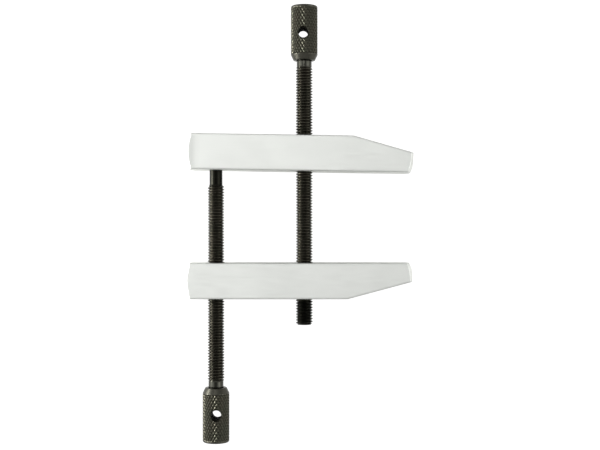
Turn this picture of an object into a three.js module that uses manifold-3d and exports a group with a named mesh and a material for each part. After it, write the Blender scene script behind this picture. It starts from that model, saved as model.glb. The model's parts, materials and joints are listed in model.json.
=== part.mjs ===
// Toolmaker's parallel clamp: two square steel jaws carried on two long M6 screws whose knurled
// heads take a tommy bar. Sizes are in millimetres.
// The clamp lies on its side on the bench: +X points to the noses of the jaws, +Y runs along the
// screws and +Z is up. The origin is on the bench, under the middle of the whole clamp.
import * as THREE from 'three';
import { mergeVertices } from 'three/addons/utils/BufferGeometryUtils.js';
import Module from 'manifold-3d';

const wasm = await Module();
wasm.setup();

const { degToRad } = THREE.MathUtils;

// The jaws are cut from the same square bar, and only the lengths of their noses differ.
const barSide = 12.7;
const jawLength = 80.2;
const threadedJawTaperLength = 22.9;
const freeJawTaperLength = 21.2;
const noseTaperAngle = degToRad( 15 );
const longEdgeBreak = 0.5;
const endFaceRadius = 4.8;
const endChamferAngle = degToRad( 25 );

// How the jaws stand to the screws. A setback is from a jaw's rear end to the rear screw.
const threadedJawSetback = 10.6;
const freeJawSetback = 10.3;
const screwSpacing = 31.5;
const openingAtRearScrew = 33;
const freeJawTilt = degToRad( 0.92 );
const middleScrewProjection = 9.4;

// Both screws have a metric coarse thread, rolled on a blank of its pitch diameter.
const threadDiameter = 6;
const threadPitch = 1;
const rolledDepthShare = 0.65;
const rootDepthShare = 1.23;
const neckLength = 2;
const middleThreadLength = 92.2;
const rearThreadLength = 70.2;
const runOutPitchesShare = 0.5;

// The rear screw ends in a plain dog that seats in a blind hole of the free jaw.
const dogDiameter = 4.6;
const dogLength = 11.3;
const dogTipChamfer = 0.5;
const seatDepth = 6.3;
const seatClearance = 0.3;

// The heads are sleeves closed at the far end, with a hole right across for the tommy bar.
const headDiameter = 9.5;
const headLength = 19.5;
const headTaperLength = 2;
const headShoulderDiameter = 7.6;
const headEndRadius = 0.6;
const spigotLength = 5.5;
const spigotFit = 0.1;
const spigotEndGap = 0.3;
const spigotChamfer = 0.4;
const boreMouthChamfer = 0.3;
const tommyHoleDiameter = 3.5;
const tommyHoleFromShoulder = 9.45;
const tommyMouthDiameter = 4.5;
const tommyMouthDepth = 1.3;

// Holes in the jaws.
const tappedHoleClearance = 0.15;
const freeHoleClearance = 0.4;
const tappedMouthChamfer = 0.6;
const freeMouthChamfer = 0.3;

// Cutters run past the faces that they cut by this much.
const overrun = 1;
const quarterTurn = 90;

const roundSegments = 64;
const holeSegments = 48;
const envelopeSegments = 144;
const cornerSegments = 6;

// Surfaces: bright ground steel on the jaws, black oxide on the screws.
const groundSteel = new THREE.MeshStandardMaterial( { color: 0xdfe1dd, roughness: 0.38, metalness: 0.9 } );
const blackOxideThread = new THREE.MeshStandardMaterial( {
	color: 0x2e2d28,
	roughness: 0.45,
	metalness: 0.8,
} );
const blackOxideKnurl = new THREE.MeshStandardMaterial( {
	color: 0x3d3d36,
	roughness: 0.5,
	metalness: 0.8,
} );

// Sizes that follow from those above.
const blankRadius = ( threadDiameter - rolledDepthShare * threadPitch ) / 2;
const threadRadius = threadDiameter / 2;
const threadEndChamfer = rootDepthShare * threadPitch / 2;
const tappedHoleRadius = threadRadius + tappedHoleClearance;
const freeHoleRadius = threadRadius + freeHoleClearance;
const seatRadius = dogDiameter / 2 + seatClearance;
const barCentre = barSide / 2;

// A closed geometry as a solid that can be cut and joined.
function solidOf( geometry ) {

	const bare = geometry.clone();
	bare.deleteAttribute( 'normal' );
	bare.deleteAttribute( 'uv' );
	const merged = mergeVertices( bare );
	return new wasm.Manifold( new wasm.Mesh( {
		numProp: 3,
		vertProperties: merged.attributes.position.array,
		triVerts: new Uint32Array( merged.index.array ),
	} ) );

}

// The solid back as a flat-shaded geometry.
function geometryOf( solid ) {

	const { vertProperties, triVerts } = solid.getMesh();
	const indexed = new THREE.BufferGeometry();
	indexed.setAttribute( 'position', new THREE.BufferAttribute( vertProperties, 3 ) );
	indexed.setIndex( new THREE.BufferAttribute( triVerts, 1 ) );
	const geometry = indexed.toNonIndexed();
	geometry.computeVertexNormals();
	return geometry;

}

// A solid turned about the Y axis from [ radius, height ] pairs that run from low to high.
function turned( profile, segments ) {

	const points = profile.map( ( [ radius, height ] ) => new THREE.Vector2( radius, height ) );
	return solidOf( new THREE.LatheGeometry( points, segments ) );

}

// A drill for a hole that is square to the jaw's clamping face. It runs from one height to
// another, and a chamfer opens it out at each mouth that it is given.
function drill( radius, from, to, chamferAtClampingFace, chamferAtOuterFace ) {

	const profile = [ [ 0, from ] ];
	if ( chamferAtOuterFace > 0 ) {

		profile.push( [ radius + chamferAtOuterFace, from ] );
		profile.push( [ radius + chamferAtOuterFace, 0 ] );
		profile.push( [ radius, chamferAtOuterFace ] );

	} else {

		profile.push( [ radius, from ] );

	}
	profile.push( [ radius, barSide - chamferAtClampingFace ] );
	profile.push( [ radius + chamferAtClampingFace, barSide ] );
	profile.push( [ radius + chamferAtClampingFace, to ] );
	profile.push( [ 0, to ] );
	return turned( profile, holeSegments );

}

// The side view of a jaw: rear end at x = 0, outer side at y = 0 with the nose tapering up
// from it, clamping face along y = barSide.
function jawOutline( taperLength ) {

	const noseRise = taperLength * Math.tan( noseTaperAngle );
	const outline = new THREE.Shape();
	outline.moveTo( 0, 0 );
	outline.lineTo( jawLength - taperLength, 0 );
	outline.lineTo( jawLength, noseRise );
	outline.lineTo( jawLength, barSide );
	outline.lineTo( 0, barSide );
	return outline;

}

// The bar with its four long edges broken.
function jawBar( taperLength ) {

	const bar = new THREE.ExtrudeGeometry( jawOutline( taperLength ), {
		depth: barSide - 2 * longEdgeBreak,
		bevelThickness: longEdgeBreak,
		bevelSize: longEdgeBreak,
		bevelOffset: - longEdgeBreak,
		bevelSegments: 1,
	} );
	bar.translate( 0, 0, longEdgeBreak - barCentre );
	return solidOf( bar );

}

// What the lathe leaves of the bar: a cone off each end, about the bar's own centre line.
function turnedEnvelope() {

	const widestRadius = barCentre * Math.SQRT2 + overrun;
	const chamferLength = ( widestRadius - endFaceRadius ) * Math.tan( endChamferAngle );
	const envelope = turned( [
		[ 0, 0 ],
		[ endFaceRadius, 0 ],
		[ widestRadius, chamferLength ],
		[ widestRadius, jawLength - chamferLength ],
		[ endFaceRadius, jawLength ],
		[ 0, jawLength ],
	], envelopeSegments );
	return envelope.rotate( [ 0, 0, - quarterTurn ] ).translate( [ 0, barCentre, 0 ] );

}

function jawBlank( taperLength ) {

	return jawBar( taperLength ).intersect( turnedEnvelope() );

}

// Both screws run in tapped holes right through this jaw.
function threadedJaw() {

	const mouth = tappedMouthChamfer;
	const tapped = drill( tappedHoleRadius, - overrun, barSide + overrun, mouth, mouth );
	return jawBlank( threadedJawTaperLength )
		.subtract( tapped.translate( [ threadedJawSetback, 0, 0 ] ) )
		.subtract( tapped.translate( [ threadedJawSetback + screwSpacing, 0, 0 ] ) );

}

// The middle screw passes freely through this jaw, and the rear screw's dog has a blind seat.
function freeJaw() {

	const free = drill( freeHoleRadius, - overrun, barSide + overrun, freeMouthChamfer, freeMouthChamfer );
	const seat = drill( seatRadius, barSide - seatDepth, barSide + overrun, freeMouthChamfer, 0 );
	return jawBlank( freeJawTaperLength )
		.subtract( seat.translate( [ freeJawSetback, 0, 0 ] ) )
		.subtract( free.translate( [ freeJawSetback + screwSpacing, 0, 0 ] ) );

}

// A screw without its head. The head's shoulder is at y = 0 and the thread runs down from it,
// so the spigot that the head is fixed on stands up.
function spindle( threadLength, ending ) {

	const threadEnd = - neckLength - threadLength;
	const runOut = runOutPitchesShare * threadPitch;
	return turned( [
		...ending( threadEnd ),
		[ threadRadius, - neckLength - runOut ],
		[ blankRadius, - neckLength ],
		[ blankRadius, spigotLength - spigotChamfer ],
		[ blankRadius - spigotChamfer, spigotLength ],
		[ 0, spigotLength ],
	], roundSegments );

}

// The thread's last turn is bevelled off to its root.
function bevelledEnd( y ) {

	return [ [ 0, y ], [ threadRadius - threadEndChamfer, y ], [ threadRadius, y + threadEndChamfer ] ];

}

// The thread ends in a cone, and the plain dog goes on from it.
function dogEnd( y ) {

	const dogRadius = dogDiameter / 2;
	const tip = y - dogLength;
	return [
		[ 0, tip ],
		[ dogRadius - dogTipChamfer, tip ],
		[ dogRadius, tip + dogTipChamfer ],
		[ dogRadius, y ],
		[ threadRadius, y + threadRadius - dogRadius ],
	];

}

// The cutter for the tommy bar's hole: a drill along Z whose mouths widen to the head's surface.
function tommyHole() {

	const radius = tommyHoleDiameter / 2;
	const mouthRadius = tommyMouthDiameter / 2;
	const headRadius = headDiameter / 2;
	const reach = headRadius + overrun;
	const surface = Math.sqrt( headRadius ** 2 - mouthRadius ** 2 );
	const straight = surface - tommyMouthDepth;
	const cutter = turned( [
		[ 0, - reach ],
		[ mouthRadius, - reach ],
		[ mouthRadius, - surface ],
		[ radius, - straight ],
		[ radius, straight ],
		[ mouthRadius, surface ],
		[ mouthRadius, reach ],
		[ 0, reach ],
	], holeSegments );
	return cutter.rotate( [ quarterTurn, 0, 0 ] ).translate( [ 0, tommyHoleFromShoulder, 0 ] );

}

// A head, standing up from its shoulder at y = 0.
function head() {

	const radius = headDiameter / 2;
	const boreRadius = blankRadius + spigotFit;
	const boreDepth = spigotLength + spigotEndGap;
	const rounding = Array.from( { length: cornerSegments + 1 }, ( _, i ) => {

		const angle = i / cornerSegments * Math.PI / 2;
		return [
			radius - headEndRadius * ( 1 - Math.cos( angle ) ),
			headLength - headEndRadius * ( 1 - Math.sin( angle ) ),
		];

	} );
	const sleeve = turned( [
		[ 0, boreDepth ],
		[ boreRadius, boreDepth ],
		[ boreRadius, boreMouthChamfer ],
		[ boreRadius + boreMouthChamfer, 0 ],
		[ headShoulderDiameter / 2, 0 ],
		[ radius, headTaperLength ],
		...rounding,
		[ 0, headLength ],
	], roundSegments );
	return sleeve.subtract( tommyHole() );

}

function named( name, solid, material ) {

	const mesh = new THREE.Mesh( geometryOf( solid ), material );
	mesh.name = name;
	return mesh;

}

// A screw is placed by its shoulder, and the rear one points the other way.
function screw( name, threadLength, ending ) {

	const group = new THREE.Group();
	group.add( named( name + '_spindle', spindle( threadLength, ending ), blackOxideThread ) );
	group.add( named( name + '_head', head(), blackOxideKnurl ) );
	return group;

}

// Places are taken from the rear screw's axis and the threaded jaw's clamping face. The free jaw
// faces it, and leans about the mouth of the seat in which the rear screw pushes it.
function buildClamp() {

	const clamp = new THREE.Group();

	const lower = named( 'threaded_jaw', threadedJaw(), groundSteel );
	lower.position.set( - threadedJawSetback, - barSide, 0 );
	clamp.add( lower );

	const facingDown = freeJaw().mirror( [ 0, 1, 0 ] ).translate( [ - freeJawSetback, barSide, 0 ] );
	const upper = named( 'free_jaw', facingDown, groundSteel );
	upper.position.set( 0, openingAtRearScrew, 0 );
	upper.rotation.z = - freeJawTilt;
	clamp.add( upper );

	const middle = screw( 'middle', middleThreadLength, bevelledEnd );
	const middleY = neckLength + middleThreadLength - barSide - middleScrewProjection;
	middle.position.set( screwSpacing, middleY, 0 );
	clamp.add( middle );

	const rear = screw( 'rear', rearThreadLength, dogEnd );
	const dogTipY = openingAtRearScrew + seatDepth - seatClearance;
	rear.position.set( 0, dogTipY - dogLength - rearThreadLength - neckLength, 0 );
	rear.rotation.z = Math.PI;
	clamp.add( rear );

	return clamp;

}

// Sets the clamp down on the bench, over the origin.
function centredOnBench( clamp ) {

	const box = new THREE.Box3().setFromObject( clamp );
	const middle = box.getCenter( new THREE.Vector3() );
	clamp.position.set( - middle.x, - middle.y, - box.min.z );
	const placed = new THREE.Group();
	placed.add( clamp );
	return placed;

}

export default centredOnBench( buildClamp() );
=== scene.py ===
import json
import math

import bmesh
import bpy
import numpy as np
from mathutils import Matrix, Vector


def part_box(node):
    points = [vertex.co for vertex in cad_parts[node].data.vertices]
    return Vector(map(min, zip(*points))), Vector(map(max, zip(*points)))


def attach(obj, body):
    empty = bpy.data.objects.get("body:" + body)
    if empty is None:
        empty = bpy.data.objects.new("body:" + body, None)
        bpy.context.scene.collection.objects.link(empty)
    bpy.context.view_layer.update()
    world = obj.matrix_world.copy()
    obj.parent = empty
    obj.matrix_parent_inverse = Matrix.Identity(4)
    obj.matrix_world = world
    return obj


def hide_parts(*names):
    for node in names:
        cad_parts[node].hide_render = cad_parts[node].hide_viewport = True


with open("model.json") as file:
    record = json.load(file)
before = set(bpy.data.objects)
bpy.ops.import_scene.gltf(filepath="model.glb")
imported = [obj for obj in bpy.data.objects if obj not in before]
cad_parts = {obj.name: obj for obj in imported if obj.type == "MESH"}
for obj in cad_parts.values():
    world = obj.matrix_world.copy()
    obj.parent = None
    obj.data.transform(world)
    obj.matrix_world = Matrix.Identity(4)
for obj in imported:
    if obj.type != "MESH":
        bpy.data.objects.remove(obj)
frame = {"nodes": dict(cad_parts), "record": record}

# A toolmaker's parallel clamp that lies on a white bench and is seen from straight above.
# Lengths are in millimetres until they go into a mesh or a socket, where mm makes them metres.
mm = 0.001
tau = 2 * math.pi
scene = bpy.context.scene
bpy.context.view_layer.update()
print("frame loaded:", ", ".join(sorted(frame["nodes"])))


# Camera

studio = {
    "lookAt": (0.25, -0.37, 6.35),  # straight down on the plane of the screws
    "distance": 393,
    "pixelsPerMm": 2.80,  # in that plane
    "pictureWidth": 600,
    "sensorWidth": 36,
}


def makeCamera():
    # lens / sensor width = distance / width that is seen in the plane of the screws
    camera = bpy.data.cameras.new("camera")
    camera.sensor_fit = "HORIZONTAL"
    camera.sensor_width = studio["sensorWidth"]
    widthSeen = studio["pictureWidth"] / studio["pixelsPerMm"]
    camera.lens = studio["sensorWidth"] * studio["distance"] / widthSeen
    x, y, z = studio["lookAt"]
    holder = bpy.data.objects.new("camera", camera)
    holder.location = (x * mm, y * mm, (z + studio["distance"]) * mm)
    scene.collection.objects.link(holder)
    scene.camera = holder


makeCamera()
print("camera made")


# Meshes

def boxOf(node):
    # lowest and highest corner of a CAD node, in millimetres
    low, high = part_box(node)
    return np.array(low) / mm, np.array(high) / mm


def axisOf(node):
    # the middle of a turned node's box lies on its axis
    low, high = boxOf(node)
    return (low + high) / 2 * (1, 0, 1)


def softMin(a, b, width):
    # the smaller of a and b, less (width - |a - b|)^2 / (4 width) where they are nearly equal
    near = np.clip(width - np.abs(a - b), 0, None)
    return np.minimum(a, b) - near ** 2 / (4 * width)


def softMax(a, b, width):
    # the larger of a and b, blended in the same way
    return -softMin(-a, -b, width)


def smoothStep(t):
    # 3 t^2 - 2 t^3 between 0 and 1
    t = np.clip(t, 0, 1)
    return t * t * (3 - 2 * t)


def markShare(mesh, name, share):
    # a share for each point, which the material reads as an attribute
    mesh.attributes.new(name, "FLOAT", "POINT").data.foreach_set("value", share.ravel())


def meshFromGrid(name, points, turned=None, closesOn=None):
    # points is rows x columns x 3. The last column closes on the first, in the same row or in
    # the row that closesOn gives, and a first or last row that is drawn in to one point closes
    # that end. turned is a share for each point.
    rows, columns = points.shape[:2]
    index = np.arange(rows * columns).reshape(rows, columns)
    after = np.roll(index, -1, axis=1)
    if closesOn is not None:
        after[:, -1] = index[closesOn, 0]
    quads = np.stack([index[:-1], after[:-1], after[1:], index[1:]], axis=-1).reshape(-1, 4)
    mesh = bpy.data.meshes.new(name)
    mesh.from_pydata((points.reshape(-1, 3) * mm).tolist(), [], quads.tolist())
    if turned is not None:
        markShare(mesh, "turned", turned)
    work = bmesh.new()
    work.from_mesh(mesh)
    weld = 0.0004 * mm  # points closer than this become one
    bmesh.ops.remove_doubles(work, verts=work.verts, dist=weld)
    bmesh.ops.dissolve_degenerate(work, edges=work.edges, dist=weld)
    work.to_mesh(mesh)
    work.free()
    return mesh


def roundAxis(radius, height, angle, centre=(0, 0, 0)):
    # round an axis along Y: x = r sin(angle), z = r cos(angle), and the angle turns as a
    # right-hand screw that moves along +Y does
    x = centre[0] + radius * np.sin(angle)
    z = centre[2] + radius * np.cos(angle)
    y = centre[1] + height + 0 * x
    return np.stack([x, y, z], axis=-1)


def stackRows(below, radius, height, above):
    # [radius, height] pairs go under and over a grid of radii and heights as whole rings
    columns = radius.shape[1]
    low, high = (np.array(pairs, float)[:, :, None] + np.zeros(columns) for pairs in (below, above))
    return np.concatenate([low[:, 0], radius, high[:, 0]]), np.concatenate([low[:, 1], height, high[:, 1]])


def turnedMesh(name, profile, columns, centre=(0, 0, 0)):
    # [radius, height] pairs from low to high, carried round the axis
    profile = np.array(profile, float)
    angle = np.linspace(0, tau, columns, endpoint=False)[None, :]
    return meshFromGrid(name, roundAxis(profile[:, :1], profile[:, 1:], angle, centre))


def pointsOf(mesh):
    # the mesh's points as rows of x, y and z in millimetres
    co = np.empty(len(mesh.vertices) * 3)
    mesh.vertices.foreach_get("co", co)
    return co.reshape(-1, 3) / mm


def moveVertices(mesh, turn, shift):
    # new = turn x old + shift
    co = pointsOf(mesh) @ np.array(turn, float).T + np.array(shift, float)
    mesh.vertices.foreach_set("co", (co * mm).ravel())
    mesh.update()


def addObject(name, mesh):
    piece = bpy.data.objects.new(name, mesh)
    scene.collection.objects.link(piece)
    return piece


def cutWith(piece, cutters):
    # takes the cutters out of the piece and then removes them
    for cutter in cutters:
        cut = piece.modifiers.new("cut", "BOOLEAN")
        cut.operation = "DIFFERENCE"
        cut.solver = "EXACT"
        cut.object = cutter
    bpy.context.view_layer.update()
    done = piece.evaluated_get(bpy.context.evaluated_depsgraph_get())
    mesh = bpy.data.meshes.new_from_object(done)
    piece.modifiers.clear()
    piece.data = mesh
    for cutter in cutters:
        bpy.data.objects.remove(cutter)


def finishPiece(piece, body, material, node, sharpAngle):
    # smooth shading but for edges over the sharp angle, and then what the frame has to know
    piece.data.materials.clear()
    piece.data.materials.append(material)
    piece.data.shade_smooth()
    piece.data.set_sharp_from_angle(angle=math.radians(sharpAngle))
    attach(piece, body)
    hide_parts(node)
    print(piece.name, "has", len(piece.data.polygons), "faces")


# Materials

fromNoise = {"From Min": 0.3, "From Max": 0.7}  # most values of a noise lie between these


def linear(hexColour):
    # an sRGB hex colour as linear red, green and blue, with alpha 1
    channels = [int(hexColour[i:i + 2], 16) / 255 for i in (0, 2, 4)]
    return [c / 12.92 if c <= 0.04045 else ((c + 0.055) / 1.055) ** 2.4 for c in channels] + [1]


def setInputs(tree, node, inputs):
    # an input is a plain value or another node's output socket
    for name, value in inputs.items():
        if isinstance(value, bpy.types.NodeSocket):
            tree.links.new(value, node.inputs[name])
        else:
            node.inputs[name].default_value = value


def addNode(tree, kind, settings=None, inputs=None):
    # The sockets of Math and Mix are numbered. A Mix has its factor in 0, two numbers in 2 and 3
    # that come out of 0, and two colours in 6 and 7 that come out of 2.
    node = tree.nodes.new(kind)
    for name, value in (settings or {}).items():
        setattr(node, name, value)
    setInputs(tree, node, inputs or {})
    return node


def newMaterial(name):
    material = bpy.data.materials.new(name)
    material.use_nodes = True
    tree = material.node_tree
    return material, tree, tree.nodes["Principled BSDF"]


def shareAcross(tree, place, centre, across, near, far):
    # share = (distance - near) / (far - near), held between 0 and 1, where the distance from
    # centre is measured along the axes that across has a 1 for
    offset = addNode(tree, "ShaderNodeMapping", {}, {
        "Vector": place, "Location": [-c * a * mm for c, a in zip(centre, across)], "Scale": across})
    distance = addNode(tree, "ShaderNodeVectorMath", {"operation": "LENGTH"}, {0: offset.outputs["Vector"]})
    return addNode(tree, "ShaderNodeMapRange", {}, {
        "Value": distance.outputs["Value"], "From Min": near * mm, "From Max": far * mm}).outputs["Result"]


steelFinish = {
    "light": "ECEEEA",
    "dark": "E6E8E4",
    "patchSize": 14,  # slow cloudiness of the ground face
    "patchDetail": 3,
    "roughness": (0.46, 0.54),
    "paintedEdgeShade": "D2D4D0",  # painted shade on the long sides and the edges beside them
    "grindSpacing": 0.25,  # real grit lines are finer than the picture can show
    "grindStretch": 30,
    "grindDepth": 0.0010,
}


def makeGroundSteel():
    # Mild steel bar, surface ground along its length: an even bright grey whose fine lines
    # along the bar blur what it mirrors. Its long sides and the edges beside them are darker: painted
    # shade.
    material, tree, shader = newMaterial("groundMildSteel")
    place = addNode(tree, "ShaderNodeTexCoord").outputs["Object"]
    cloud = addNode(tree, "ShaderNodeTexNoise", {}, {
        "Vector": place,
        "Scale": 1 / (steelFinish["patchSize"] * mm),
        "Detail": steelFinish["patchDetail"],
    })
    cloudShare = addNode(tree, "ShaderNodeMapRange", {}, {**fromNoise, "Value": cloud.outputs["Fac"]})
    # darker long sides and edges: painted shade
    paintedEdgeShade = addNode(tree, "ShaderNodeAttribute", {"attribute_name": "paintedEdgeShade"})
    layers = ((cloudShare.outputs["Result"], "light"), (paintedEdgeShade.outputs["Fac"], "paintedEdgeShade"))

    # each layer covers what lies under it by its share
    colour = linear(steelFinish["dark"])
    for share, tone in layers:
        colour = addNode(tree, "ShaderNodeMix", {"data_type": "RGBA"}, {
            0: share, 6: colour, 7: linear(steelFinish[tone])}).outputs[2]

    along = addNode(tree, "ShaderNodeMapping", {}, {
        "Vector": place, "Scale": (1 / steelFinish["grindStretch"], 1, 1)})
    grind = addNode(tree, "ShaderNodeTexNoise", {}, {
        "Vector": along.outputs["Vector"], "Scale": 1 / (steelFinish["grindSpacing"] * mm)}).outputs["Fac"]
    smoothest, roughest = steelFinish["roughness"]
    roughness = addNode(tree, "ShaderNodeMapRange", {}, {
        **fromNoise, "Value": grind, "To Min": smoothest, "To Max": roughest})
    bump = addNode(tree, "ShaderNodeBump", {}, {
        "Height": grind, "Distance": steelFinish["grindDepth"] * mm, "Strength": 1})
    setInputs(tree, shader, {
        "Base Color": colour,
        "Metallic": 1,
        "Roughness": roughness.outputs["Result"],
        "Normal": bump.outputs["Normal"],
    })
    return material


threadFinish = {
    "olive": "32322A",
    "brown": "34302A",
    "rubbedAndHighlight": "4C4A41",
    "rubbedAndHighlightFrom": 2.85,  # the coating is worn on what stands out past this radius, partly real wear and partly painted highlight
    "rubbedAndHighlightFull": 3.0,
    "leastRubbedAndHighlight": 0.4,  # share of that wear and painted highlight where it is slightest
    "smooth": "40403A",  # the turned neck and the middle screw's flat end
    "paintedShade": "1A1A16",  # painted shade where the middle screw has come out of the tapped hole, and on the dog
    "smoothRoughness": 0.18,
    "patchSize": 4,
    "patchDetail": 4,
    "roughness": (0.22, 0.32),
    "unevenSize": 1.3,
    "unevenDepth": 0.012,
}
knurlFinish = {
    "olive": "33342C",
    "brown": "34312A",
    # lighter crests: partly rubbed bare metal, partly painted highlight
    "rubbedAndHighlight": "3F3E36",
    "rubbedAndHighlightFrom": 4.56,
    "rubbedAndHighlightFull": 4.76,
    "leastRubbedAndHighlight": 0.4,
    "smooth": "46453E",  # the turned taper and end
    "smoothRoughness": 0.34,
    "bore": "1E1E1A",  # the matt wall of the drilled hole, darker as painted shade
    "boreRoughness": 1,
    "boreShadeFade": 0.15,  # how far round the hole it fades out
    "patchSize": 4,
    "patchDetail": 4,
    "roughness": (0.16, 0.24),
    "unevenSize": 1.3,
    "unevenDepth": 0.012,
}


def makeBlackOxide(name, finish, axis, hole=None):
    # Steel dipped in a hot oxidising salt and oiled: near black with an olive and brown cast and
    # an oily sheen. Crests past a given radius are lighter, partly bare metal that hands and nuts
    # rub and partly painted highlight. Turned parts differ in smoothness. The wall of a drilled
    # hole is matt and darker as painted shade, and marked places are darker as painted shade.
    material, tree, shader = newMaterial(name)
    place = addNode(tree, "ShaderNodeTexCoord").outputs["Object"]
    patch = addNode(tree, "ShaderNodeTexNoise", {}, {
        "Vector": place,
        "Scale": 1 / (finish["patchSize"] * mm),
        "Detail": finish["patchDetail"],
    }).outputs["Fac"]
    browned = addNode(tree, "ShaderNodeMapRange", {}, {**fromNoise, "Value": patch}).outputs["Result"]
    patchy = addNode(tree, "ShaderNodeMapRange", {}, {
        **fromNoise, "Value": patch, "To Min": finish["leastRubbedAndHighlight"]}).outputs["Result"]
    # crests past a radius are lighter: partly worn bare metal, partly painted highlight
    wornAndHighlight = shareAcross(tree, place, axis, (1, 0, 1), finish["rubbedAndHighlightFrom"], finish["rubbedAndHighlightFull"])
    rubbedAndHighlight = addNode(tree, "ShaderNodeMath", {"operation": "MULTIPLY"}, {0: wornAndHighlight, 1: patchy}).outputs[0]
    colours = [(browned, "brown"), (rubbedAndHighlight, "rubbedAndHighlight")]
    # darker where the attribute marks it: painted shade
    if "paintedShade" in finish:
        paintedShade = addNode(tree, "ShaderNodeAttribute", {"attribute_name": "paintedShade"}).outputs["Fac"]
        colours.append((paintedShade, "paintedShade"))
    smooth = addNode(tree, "ShaderNodeAttribute", {"attribute_name": "turned"}).outputs["Fac"]
    colours.append((smooth, "smooth"))
    sheens = [(smooth, "smoothRoughness")]
    if hole:
        # the hole's wall and mouth are darker: painted shade
        centre, radius = hole
        boreShade = shareAcross(tree, place, centre, (1, 1, 0), radius + finish["boreShadeFade"], radius)
        colours.append((boreShade, "bore"))
        sheens.append((boreShade, "boreRoughness"))

    # each layer covers what lies under it by its share
    colour = linear(finish["olive"])
    for share, tone in colours:
        colour = addNode(tree, "ShaderNodeMix", {"data_type": "RGBA"}, {
            0: share, 6: colour, 7: linear(finish[tone])}).outputs[2]
    smoothest, roughest = finish["roughness"]
    roughness = addNode(tree, "ShaderNodeMapRange", {}, {
        **fromNoise, "Value": patch, "To Min": smoothest, "To Max": roughest}).outputs["Result"]
    for share, sheen in sheens:
        roughness = addNode(tree, "ShaderNodeMix", {}, {
            0: share, 2: roughness, 3: finish[sheen]}).outputs[0]

    uneven = addNode(tree, "ShaderNodeTexNoise", {}, {
        "Vector": place, "Scale": 1 / (finish["unevenSize"] * mm)})
    bump = addNode(tree, "ShaderNodeBump", {}, {
        "Height": uneven.outputs["Fac"], "Distance": finish["unevenDepth"] * mm, "Strength": 1})
    setInputs(tree, shader, {
        "Base Color": colour,
        "Metallic": 1,
        "Roughness": roughness,
        "Normal": bump.outputs["Normal"],
    })
    return material


groundSteel = makeGroundSteel()
print("steel made")


# Threaded spindles

thread = {
    "pitch": 1,
    "crestRadius": 3,
    "rootRadius": 2.4,
    "blankRadius": 2.675,  # the rolled rod's plain neck
    "crestShare": 1 / 10,  # half widths of a crest and of a groove with its flanks, in pitches
    "footShare": 5 / 12,
    "rounding": 0.16,
    "neckLength": 2,
    "runOut": 1.2,
    "columns": 64,
    # where the rows lie in a pitch, close together where the form bends
    "phases": (-0.44, -0.39, -0.24, -0.09, -0.045, 0, 0.045, 0.09, 0.24, 0.39, 0.44, 0.5),
    "spareTurns": 2,  # past each end, and then held at the end
    "endBevelRadius": 2.385,
    "spigotChamfer": 0.4,
    "dogRadius": 2.3,
    "dogLength": 11.3,
    "dogTipChamfer": 0.5,
    "paintedShadeFade": 1.5,
    "edgeBlend": 0.05,
    "edgeRing": 0.15,  # a ring this close to an edge keeps the shading of a long plain side even
    "sharpAngle": 75,
}


def threadShare(phase):
    # 1 on the crest and 0 in the root, with straight 60 degree flanks between and both ends
    # rounded: share = softMax(softMin((foot - |phase|) / (foot - crest), 1), 0)
    distance = np.abs((phase + 0.5) % 1 - 0.5)
    share = (thread["footShare"] - distance) / (thread["footShare"] - thread["crestShare"])
    return softMax(softMin(share, 1, thread["rounding"]), 0, thread["rounding"])


def threadGrid(low, high):
    # rows follow the helix y = pitch (turn + phase + angle / tau), held between low and high
    angle = np.linspace(0, tau, thread["columns"], endpoint=False)[None, :]
    first = math.floor(low / thread["pitch"]) - thread["spareTurns"]
    last = math.ceil(high / thread["pitch"]) + thread["spareTurns"]
    turns = np.arange(first, last)
    steps = (turns[:, None] + np.array(thread["phases"])[None, :]).reshape(-1, 1)
    height = np.clip(thread["pitch"] * (steps + angle / tau), low, high)
    return angle, height, threadShare(height / thread["pitch"] - angle / tau)


def rowAfterTurn(below, rows, above):
    # once round the helix, a row of the thread meets the one that lies a pitch further on, and
    # the plain rings under and over it meet themselves
    climbed = np.minimum(np.arange(rows) + len(thread["phases"]), rows - 1)
    return np.concatenate([np.arange(below), below + climbed, below + rows + np.arange(above)])


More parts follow.
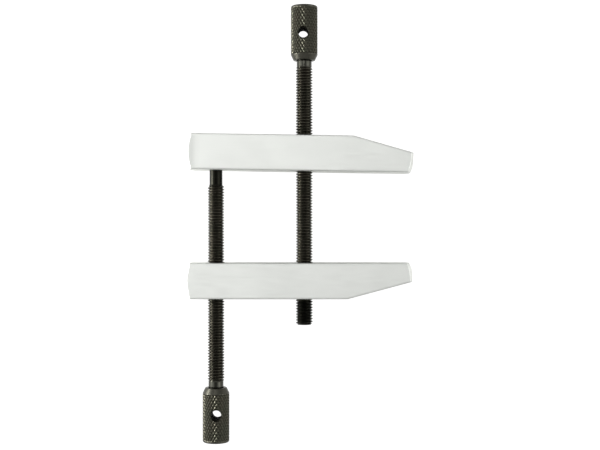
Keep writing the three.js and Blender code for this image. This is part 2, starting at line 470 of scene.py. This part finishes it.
def makeSpindle(name, side, headUp, hasDog):
    # radius = blank + (thread - blank) x run-out, under the cone of the end bevel
    way = 1 if headUp else -1
    low, high = boxOf(side + "_spindle")
    headLow, headHigh = boxOf(side + "_head")
    neckEnd = (headLow[1] if headUp else headHigh[1]) - way * thread["neckLength"]
    spigotEnd, tip = (high[1], low[1]) if headUp else (low[1], high[1])
    threadEnd = tip + way * (thread["dogLength"] if hasDog else 0)
    endRadius = thread["dogRadius"] if hasDog else thread["endBevelRadius"]
    angle, height, share = threadGrid(min(neckEnd, threadEnd), max(neckEnd, threadEnd))
    cut = thread["rootRadius"] + (thread["crestRadius"] - thread["rootRadius"]) * share
    fade = smoothStep(np.abs(height - neckEnd) / thread["runOut"])
    radius = thread["blankRadius"] + (cut - thread["blankRadius"]) * fade
    radius = softMin(radius, endRadius + np.abs(height - threadEnd), thread["edgeBlend"])

    # plain rings from the thread outwards: the neck and its spigot in the head at one end, the
    # bevel or the dog at the other
    neck, chamfer, tipChamfer = thread["blankRadius"], thread["spigotChamfer"], thread["dogTipChamfer"]
    headSide = [(neck, neckEnd), (neck, spigotEnd - way * chamfer),
                (neck - chamfer, spigotEnd), (0, spigotEnd)]
    farSide = [(endRadius, threadEnd), (0, tip)]
    if hasDog:
        edge = way * thread["edgeRing"]
        farSide[1:1] = [(endRadius, threadEnd - edge), (endRadius, tip + way * tipChamfer + edge),
                        (endRadius, tip + way * tipChamfer), (endRadius - tipChamfer, tip)]
    below, above = (farSide, headSide) if headUp else (headSide, farSide)

    # the neck is smooth and so is a flat end, but the dog carries the painted shade instead
    farTurned = 0 if hasDog else 1
    turned = np.maximum(1 - fade, (height == threadEnd) * farTurned)
    closesOn = rowAfterTurn(len(below), len(radius), len(above))
    radius, height = stackRows(below[::-1], radius, height, above)
    ends = (farTurned, 1) if headUp else (1, farTurned)
    turned = np.pad(turned, ((len(below), len(above)), (0, 0)), constant_values=(ends, (0, 0)))
    axis = axisOf(side + "_head")
    piece = addObject(name, meshFromGrid(name, roundAxis(radius, height, angle, axis), turned, closesOn))

    # painted shade on the middle screw past the threaded jaw, and on the dog. The dog has points
    # only at its ends, so its painted shade starts on the thread.
    y = pointsOf(piece.data)[:, 1]
    past = y - threadEnd + thread["paintedShadeFade"] if hasDog else boxOf("threaded_jaw")[0][1] - y
    markShare(piece.data, "paintedShade", np.clip(past / thread["paintedShadeFade"], 0, 1))
    material = makeBlackOxide(side + "BlackOxideRolledThread", threadFinish, axis)
    finishPiece(piece, side + "_screw", material,
                side + "_spindle", thread["sharpAngle"])


makeSpindle("middleSpindle", "middle", True, False)
makeSpindle("rearSpindle", "rear", False, True)


# Knurled heads

head = {
    "radius": 4.75,
    "length": 19.5,
    "taperLength": 2,
    "shoulderRadius": 3.8,
    "shoulderBreak": 0.12,
    "edgeRing": 0.15,
    "endRadius": 0.6,
    "rimRows": 7,
    "boreRadius": 2.775,
    "boreDepth": 5.8,
    "boreMouth": 0.3,
    "teeth": 26,
    "grooveAngle": 30,  # each family of grooves winds round at this angle to the axis
    "grooveDepth": 0.26,
    "tipShare": 0.62,  # the diamonds are flat above this share of their height
    "tipRounding": 0.1,
    "plainAtEnd": 0.1,
    "fade": 0.4,
    "stepsPerTooth": 12,
    "holeRadius": 1.75,
    "holeMouth": (0.25, 0.7),  # the mouth flares by this much over this depth
    "holeMouthRows": 12,
    "holeOverrun": 1,
    "holeFromShoulder": 9.45,
    "holeOffAxis": -0.35,
    "holeColumns": 64,
    "holeMargin": 0.02,  # the wall's painted shade reaches this far past the drill
    "sharpAngle": 50,
}


def knurlShare(around, along):
    # Two crossing families of V grooves: ridge(t) = 1 - |2 frac(t) - 1| is 0 in a groove, and
    # the lower of ridge(around + along) and ridge(around - along) makes the diamonds.
    lower = np.minimum(*(1 - np.abs(2 * (t % 1) - 1) for t in (around + along, around - along)))
    return softMin(lower / head["tipShare"], 1, head["tipRounding"])


def tommyCutter():
    # A drill along Z whose mouths flare like a bell: radius = hole + flare x (depth share)^2,
    # where the share runs from 0 at the bottom of the mouth to 1 at the head's surface.
    hole, (flare, depth) = head["holeRadius"], head["holeMouth"]
    surface = math.sqrt(head["radius"] ** 2 - (hole + flare) ** 2)
    share = np.linspace(0, 1 + head["holeOverrun"] / depth, head["holeMouthRows"])
    side = np.stack([hole + flare * share ** 2, surface + depth * (share - 1)], 1).tolist()
    wide, reach = side[-1]
    profile = [(0, -reach), *[(r, -y) for r, y in side[::-1]], *side, (0, reach)]
    mesh = turnedMesh("tommyCutter", profile, head["holeColumns"])
    moveVertices(mesh, [[1, 0, 0], [0, 0, -1], [0, 1, 0]],
                 (head["holeOffAxis"], head["holeFromShoulder"], 0))
    return addObject("tommyCutter", mesh)


def makeHead(name):
    # radius = outer radius - groove depth x (1 - knurl share) x fade, standing up along +Y from
    # its shoulder at the origin
    radius, end, taper, fade = head["radius"], head["length"], head["taperLength"], head["fade"]
    columns = head["teeth"] * head["stepsPerTooth"]
    angle = np.linspace(0, tau, columns, endpoint=False)[None, :]
    axialPitch = tau * radius / head["teeth"] / math.tan(math.radians(head["grooveAngle"]))
    bodyEnd = end - head["endRadius"]
    height = np.arange(taper + head["edgeRing"], bodyEnd, axialPitch / head["stepsPerTooth"])[:, None]
    share = knurlShare(head["teeth"] * angle / tau, height / axialPitch)
    depth = head["grooveDepth"] * (smoothStep((height - taper) / fade)
                                   * smoothStep((bodyEnd - head["plainAtEnd"] - height) / fade))
    knurled = radius - depth * (1 - share)

    # plain rings: the bore for the screw, the shoulder and the taper below, the rounded rim above
    bore, mouth = head["boreRadius"], head["boreMouth"]
    shoulder, soft = head["shoulderRadius"], head["shoulderBreak"]
    cone = np.array([soft, soft + head["edgeRing"], taper - head["edgeRing"], taper])
    coneRadius = shoulder + (radius - shoulder) * cone / taper
    start = [(0, head["boreDepth"]), (bore, head["boreDepth"]), (bore, mouth), (bore + mouth, 0),
             (shoulder - soft, 0), *zip(coneRadius, cone)]
    turn = np.linspace(0, math.pi / 2, head["rimRows"])
    rim = np.stack([radius - head["endRadius"] * (1 - np.cos(turn)),
                    bodyEnd + head["endRadius"] * np.sin(turn)], 1)
    radii, heights = stackRows(start, knurled, height + 0 * angle, [*rim.tolist(), (0, end)])
    turned = 1 - smoothStep((heights - taper) / fade) + smoothStep((heights - bodyEnd) / fade + 1)
    piece = addObject(name, meshFromGrid(name, roundAxis(radii, heights, angle), turned))
    cutWith(piece, [tommyCutter()])
    return piece


def placeHead(name, side, pattern, headUp):
    # the head whose screw points down is the same one turned half round
    low, high = boxOf(side + "_head")
    shoulder = axisOf(side + "_head") + (0, low[1] if headUp else high[1], 0)
    way = 1 if headUp else -1
    mesh = pattern.data.copy()
    mesh.name = name
    moveVertices(mesh, np.diag([way, way, 1]), shoulder)
    piece = addObject(name, mesh)
    centre = shoulder + np.array([head["holeOffAxis"], head["holeFromShoulder"], 0]) * way
    hole = (centre, head["holeRadius"] + head["holeMargin"])
    material = makeBlackOxide(side + "BlackOxideKnurledSteel", knurlFinish, shoulder, hole)
    finishPiece(piece, side + "_screw", material, side + "_head", head["sharpAngle"])


headPattern = makeHead("headPattern")
placeHead("middleKnurledHead", "middle", headPattern, True)
placeHead("rearKnurledHead", "rear", headPattern, False)
bpy.data.objects.remove(headPattern)


# Jaws

jaw = {
    "side": 12.7,
    "length": 80.2,
    "threadedTaper": 22.9,  # length of the nose's taper on each jaw
    "freeTaper": 21.2,
    "taperAngle": 15,
    "edgeRadius": 0.5,
    "endRadius": 4.8,  # each end is turned to a flat disc of this radius, with a cone behind it
    "endAngle": 25,  # that falls back from the disc at this angle
    "creaseShare": 0.03,  # softness of the line where a cone meets the sides
    "bendBlend": 0.05,  # and of the line where the taper starts
    "sidePoints": 52,  # points along each side of a section and round each of its corners
    "cornerPoints": 6,
    "endStep": 0.09,  # sections lie this close in the end cones and a few steps past them
    "stepsPastCone": 3,
    "bendReach": 0.3,  # this near to the start of the taper there are more rows
    "bendRows": 7,
    "longStep": 1.5,
    "leastStep": 1,
    "freeSetback": 10.3,  # from the free jaw's rear end to the rear screw
    "screwSpacing": 31.5,
    "edgeShadeWidth": 0.9,  # the painted shade on the edges fades out over this width
    "rearShade": (0.8, 4, 1.4),  # share of painted shade on the free jaw's rear end, how far in, and fade
    "sharpAngle": 40,
}
holes = {
    "tapRadius": 2.52,  # crest and root of the tapped thread
    "tapDeep": 3.06,
    "tapMouth": 0.6,
    "freeRadius": 3.4,  # the middle screw passes freely, and the rear screw's dog has its seat
    "seatRadius": 2.6,
    "seatDepth": 6.3,
    "plainMouth": 0.3,
    "columns": 64,
    "overrun": 1,
}


def jawRing():
    # One section, going round by way of +Y, +Z, -Y and -Z. A point's y is
    # low + edge + share x (high - low - 2 edge) + rise, so that the low side can taper.
    edge = jaw["edgeRadius"]
    flat = jaw["side"] / 2 - edge
    line = np.linspace(-1, 1, jaw["sidePoints"])
    arc = np.linspace(0, math.pi / 2, jaw["cornerPoints"] + 2)[1:-1]
    one, oneArc = np.ones_like(line), np.ones_like(arc)
    share = [one, oneArc, (1 - line) / 2, 0 * oneArc, 0 * one, 0 * oneArc, (1 + line) / 2, oneArc]
    rise = [edge * one, edge * np.cos(arc), 0 * one, -edge * np.sin(arc),
            -edge * one, -edge * np.cos(arc), 0 * one, edge * np.sin(arc)]
    z = [flat * line, flat + edge * np.sin(arc), (flat + edge) * one, flat + edge * np.cos(arc),
         -flat * line, -flat - edge * np.sin(arc), -(flat + edge) * one, -flat - edge * np.cos(arc)]
    return (np.concatenate(part)[None, :] for part in (share, rise, z))


def jawStations(coneLength, taperLength):
    # close together in the end cones and at the start of the taper, far apart between
    first = np.arange(0, coneLength + jaw["stepsPastCone"] * jaw["endStep"], jaw["endStep"])
    bend = jaw["length"] - taperLength + np.linspace(-jaw["bendReach"], jaw["bendReach"], jaw["bendRows"])
    last = jaw["length"] - first[::-1]
    gaps = ((first[-1], bend[0]), (bend[-1], last[0]))
    between = [np.arange(start + jaw["longStep"], end - jaw["leastStep"], jaw["longStep"])
               for start, end in gaps]
    return np.concatenate([first, between[0], bend, between[1], last])[:, None]


def taperAt(x, taperLength):
    # how far the tapered side has risen: tan(angle) x the way past the start of the taper
    return math.tan(math.radians(jaw["taperAngle"])) * (x - jaw["length"] + taperLength)


def makeJawBlank(name, taperLength):
    # The bar's centre line is the X axis and its clamping face looks to +Y. Each point of a
    # section is drawn in to the end cones: (y, z) x softMin(1, cone radius / reach).
    half, length, edge = jaw["side"] / 2, jaw["length"], jaw["edgeRadius"]
    coneSlope = math.tan(math.radians(jaw["endAngle"]))
    x = jawStations((half * math.sqrt(2) - jaw["endRadius"]) * coneSlope, taperLength)
    low = -half + softMax(taperAt(x, taperLength), 0, jaw["bendBlend"])
    share, rise, z = jawRing()
    y = low + edge + share * (half - low - 2 * edge) + rise
    cone = jaw["endRadius"] + np.minimum(x, length - x) / coneSlope
    draw = softMin(1, cone / np.hypot(y, z), jaw["creaseShare"])
    points = np.stack(np.broadcast_arrays(x, y * draw, z * draw), axis=-1)
    poles = [points[i:i + 1] * (1, 0, 0) for i in (0, len(points) - 1)]
    return addObject(name, meshFromGrid(name, np.concatenate([poles[0], points, poles[1]])))


def markEdgeShade(mesh, taperLength, rearShade=(0, 0, 1)):
    # painted shade: share = 1 - (distance to the nearer long side) / width, in the bar's own
    # place, or the rear end's painted shade where that is more
    x, y, z = pointsOf(mesh).T
    most, reach, fade = rearShade
    half = jaw["side"] / 2
    gap = np.minimum(half - y, y + half - np.maximum(taperAt(x, taperLength), 0))
    # a darker band on the free jaw's rear end: painted shade
    rearShadeShare = most * np.clip((reach - x) / fade, 0, 1) * (z < 0)
    markShare(mesh, "paintedEdgeShade", np.maximum(np.clip(1 - gap / jaw["edgeShadeWidth"], 0, 1), rearShadeShare))


def plainCutter(radius, x, depth=None):
    # a drill square to the clamping face, with a 45 degree mouth at each face that it reaches
    half, mouth = jaw["side"] / 2, holes["plainMouth"]
    out, wide = half + holes["overrun"], radius + mouth
    top = [(radius, half - mouth), (wide, half), (wide, out), (0, out)]
    bottom = [(0, -out), (wide, -out), (wide, -half), (radius, mouth - half)]
    if depth:
        bottom = [(0, half - depth), (radius, half - depth)]
    return addObject("drill", turnedMesh("drill", bottom + top, holes["columns"], (x, 0, 0)))


def tapCutter(x, middleY):
    # The screw's own thread with a little clearance, and in step with it, so that the crest
    # lies in the groove: radius = tap + (deep - tap) x share, or the 45 degree mouth's where
    # that is more. middleY is where the bar's centre line lies in the frame.
    half = jaw["side"] / 2
    angle, height, share = threadGrid(middleY - half, middleY + half)
    height = height - middleY
    wide = thread["crestRadius"] + holes["tapMouth"]
    radius = holes["tapRadius"] + (holes["tapDeep"] - holes["tapRadius"]) * share
    radius = np.maximum(radius, wide - half + np.abs(height))
    out = half + holes["overrun"]
    below = [(0, -out), (wide, -out), (wide, -half)]
    above = [(wide, half), (wide, out), (0, out)]
    closesOn = rowAfterTurn(len(below), len(radius), len(above))
    radius, height = stackRows(below, radius, height, above)
    points = roundAxis(radius, height, angle, (x, 0, 0))
    return addObject("tap", meshFromGrid("tap", points, closesOn=closesOn))


def makeThreadedJaw():
    low, high = boxOf("threaded_jaw")
    middleY, middleZ = (low[1] + high[1]) / 2, (low[2] + high[2]) / 2
    piece = makeJawBlank("threadedJaw", jaw["threadedTaper"])
    rearX = axisOf("rear_head")[0] - low[0]
    cutWith(piece, [tapCutter(rearX, middleY), tapCutter(rearX + jaw["screwSpacing"], middleY)])
    markEdgeShade(piece.data, jaw["threadedTaper"])
    moveVertices(piece.data, np.eye(3), (low[0], middleY, middleZ))
    finishPiece(piece, "threaded_jaw", groundSteel, "threaded_jaw", jaw["sharpAngle"])


def makeFreeJaw():
    # The same bar, rolled half round so that its clamping face looks to -Y, then turned about
    # the mouth of its seat hole until that face agrees with the CAD face.
    face = next(m for m in frame["record"]["mounts"] if m["name"] == "free_jaw_clamping_face")
    normal, onFace = np.array(face["axis"]), np.array(face["pos_m"]) / mm
    rear = axisOf("rear_head")
    mouthY = onFace[1] - (rear[0] - onFace[0]) * normal[0] / normal[1]
    piece = makeJawBlank("freeJaw", jaw["freeTaper"])
    rearX = jaw["freeSetback"]
    cutWith(piece, [
        plainCutter(holes["seatRadius"], rearX, holes["seatDepth"]),
        plainCutter(holes["freeRadius"], rearX + jaw["screwSpacing"]),
    ])
    markEdgeShade(piece.data, jaw["freeTaper"], jaw["rearShade"])
    lean = math.asin(normal[0])
    turn = np.array([[math.cos(lean), -math.sin(lean), 0], [math.sin(lean), math.cos(lean), 0], [0, 0, 1]])
    turn = turn @ np.diag([1, -1, -1])
    seatMouth = np.array([rearX, jaw["side"] / 2, 0])
    moveVertices(piece.data, turn, np.array([rear[0], mouthY, rear[2]]) - turn @ seatMouth)
    finishPiece(piece, "free_jaw", groundSteel, "free_jaw", jaw["sharpAngle"])


makeThreadedJaw()
makeFreeJaw()


# Floor and light

setting = {
    "floorSize": 6000,
    "floorColour": "F4F4F2",
    "floorWhite": 1.16,  # strength of the floor's plain white
    "whiteSeen": (0.80, 1),  # share of plain white in the floor and the sky that the camera sees
    "whiteMirrored": (0.12, 0),  # and in what metal mirrors
    # x part of the direction with the softboxes' strength there, and the y part that they fade over
    "softboxes": ((-1, 4.2), (-0.94, 4.2), (-0.77, 1.7), (-0.5, 0.5), (-0.2, 0), (0.25, 0),
                  (0.5, 0.3), (0.67, 1.1), (0.87, 3.0), (0.95, 1.8), (1, 0.4)),
    "softboxEnds": (0.25, 0.65),
    # z part of the direction with the tent's strength there
    "tent": ((0, 0.03), (0.35, 0.07), (0.6, 0.62), (0.78, 0.88), (0.93, 0.35), (1, 0.26)),
}
lamps = {
    # low on the left, for the glints on the knurling
    "lamp": {"size": 60, "place": (-200, 0, 60), "power": 0.42},
    # high at the upper left, so that the jaws fall off to the lower right
    "panel": {"size": 200, "place": (-60, 260, 560), "power": 0.35},
}


def whiteShare(tree, index):
    # how much plain white a ray meets, so that metal shows the same white background that the
    # camera sees: the larger of seen share x (camera or transmission) and mirrored share x glossy
    path = addNode(tree, "ShaderNodeLightPath").outputs
    looked = addNode(tree, "ShaderNodeMath", {"operation": "MAXIMUM"}, {
        0: path["Is Camera Ray"], 1: path["Is Transmission Ray"]})
    seen = addNode(tree, "ShaderNodeMath", {"operation": "MULTIPLY"}, {
        0: looked.outputs[0], 1: setting["whiteSeen"][index]})
    mirrored = addNode(tree, "ShaderNodeMath", {"operation": "MULTIPLY"}, {
        0: path["Is Glossy Ray"], 1: setting["whiteMirrored"][index]})
    return addNode(tree, "ShaderNodeMath", {"operation": "MAXIMUM"}, {
        0: seen.outputs[0], 1: mirrored.outputs[0]}).outputs[0]


def makeFloor():
    # white paper: plain white by its share, and for the rest lit and shaded
    half = setting["floorSize"] / 2
    corners = np.array([[-half, -half, 0], [half, -half, 0], [half, half, 0], [-half, half, 0]])
    mesh = bpy.data.meshes.new("floor")
    mesh.from_pydata((corners * mm).tolist(), [], [(0, 1, 2, 3)])
    floor = addObject("floor", mesh)
    material, tree, shader = newMaterial("whitePaper")
    setInputs(tree, shader, {
        "Base Color": linear(setting["floorColour"]), "Roughness": 1, "Specular IOR Level": 0})
    glow = addNode(tree, "ShaderNodeEmission", {}, {
        "Color": linear("FFFFFF"), "Strength": setting["floorWhite"]})
    both = addNode(tree, "ShaderNodeMixShader", {}, {
        "Fac": whiteShare(tree, 0), 1: shader.outputs["BSDF"], 2: glow.outputs["Emission"]})
    setInputs(tree, tree.nodes["Material Output"], {"Surface": both.outputs["Shader"]})
    mesh.materials.append(material)


def strengthAlong(tree, part, low, stops):
    # The light's strength between the stops, which lie between low and 1 on one part of the
    # direction. It is divided by the largest so that it fits a colour, and that one comes too.
    across = addNode(tree, "ShaderNodeMapRange", {}, {"Value": part, "From Min": low, "From Max": 1})
    ramp = addNode(tree, "ShaderNodeValToRGB", {}, {"Fac": across.outputs["Result"]})
    elements = ramp.color_ramp.elements
    top = max(strength for place, strength in stops)
    while len(elements) < len(stops):
        elements.new(0.5)  # its own place comes next
    for element, (place, strength) in zip(elements, stops):
        element.position = (place - low) / (1 - low)
        element.color = [strength / top] * 3 + [1]
    return ramp.outputs["Color"], top


def makeSky():
    # A white tent with a dim top, where the camera looks in, and two long softboxes left and
    # right of the bench: strength = tent(z) + softboxes(x) x ends(|y|).
    world = bpy.data.worlds.new("studio")
    world.use_nodes = True
    scene.world = world
    tree = world.node_tree
    way = addNode(tree, "ShaderNodeTexCoord").outputs["Generated"]
    part = addNode(tree, "ShaderNodeSeparateXYZ", {}, {"Vector": way}).outputs
    boxes, boxTop = strengthAlong(tree, part["X"], -1, setting["softboxes"])
    tent, tentTop = strengthAlong(tree, part["Z"], 0, setting["tent"])
    fadeStart, fadeEnd = setting["softboxEnds"]
    aside = addNode(tree, "ShaderNodeMath", {"operation": "ABSOLUTE"}, {0: part["Y"]})
    ends = addNode(tree, "ShaderNodeMapRange", {}, {
        "Value": aside.outputs[0],
        "From Min": fadeStart,
        "From Max": fadeEnd,
        "To Min": boxTop,
        "To Max": 0,
    })
    tent = addNode(tree, "ShaderNodeMath", {"operation": "MULTIPLY"}, {0: tent, 1: tentTop})
    light = addNode(tree, "ShaderNodeMath", {"operation": "MULTIPLY_ADD"}, {
        0: boxes, 1: ends.outputs["Result"], 2: tent.outputs[0]})
    strength = addNode(tree, "ShaderNodeMix", {}, {0: whiteShare(tree, 1), 2: light.outputs[0], 3: 1})
    setInputs(tree, tree.nodes["Background"], {"Color": linear("FFFFFF"), "Strength": strength.outputs[0]})


def makeLamp(name):
    # a square softbox that faces the clamp
    lamp = bpy.data.lights.new(name, "AREA")
    lamp.size = lamps[name]["size"] * mm
    lamp.energy = lamps[name]["power"]
    holder = bpy.data.objects.new(name, lamp)
    holder.location = [v * mm for v in lamps[name]["place"]]
    holder.rotation_euler = (-holder.location).to_track_quat("-Z", "Y").to_euler()
    scene.collection.objects.link(holder)


makeFloor()
makeSky()
for name in lamps:
    makeLamp(name)
scene.view_settings.view_transform = "Standard"
print("floor and light made")
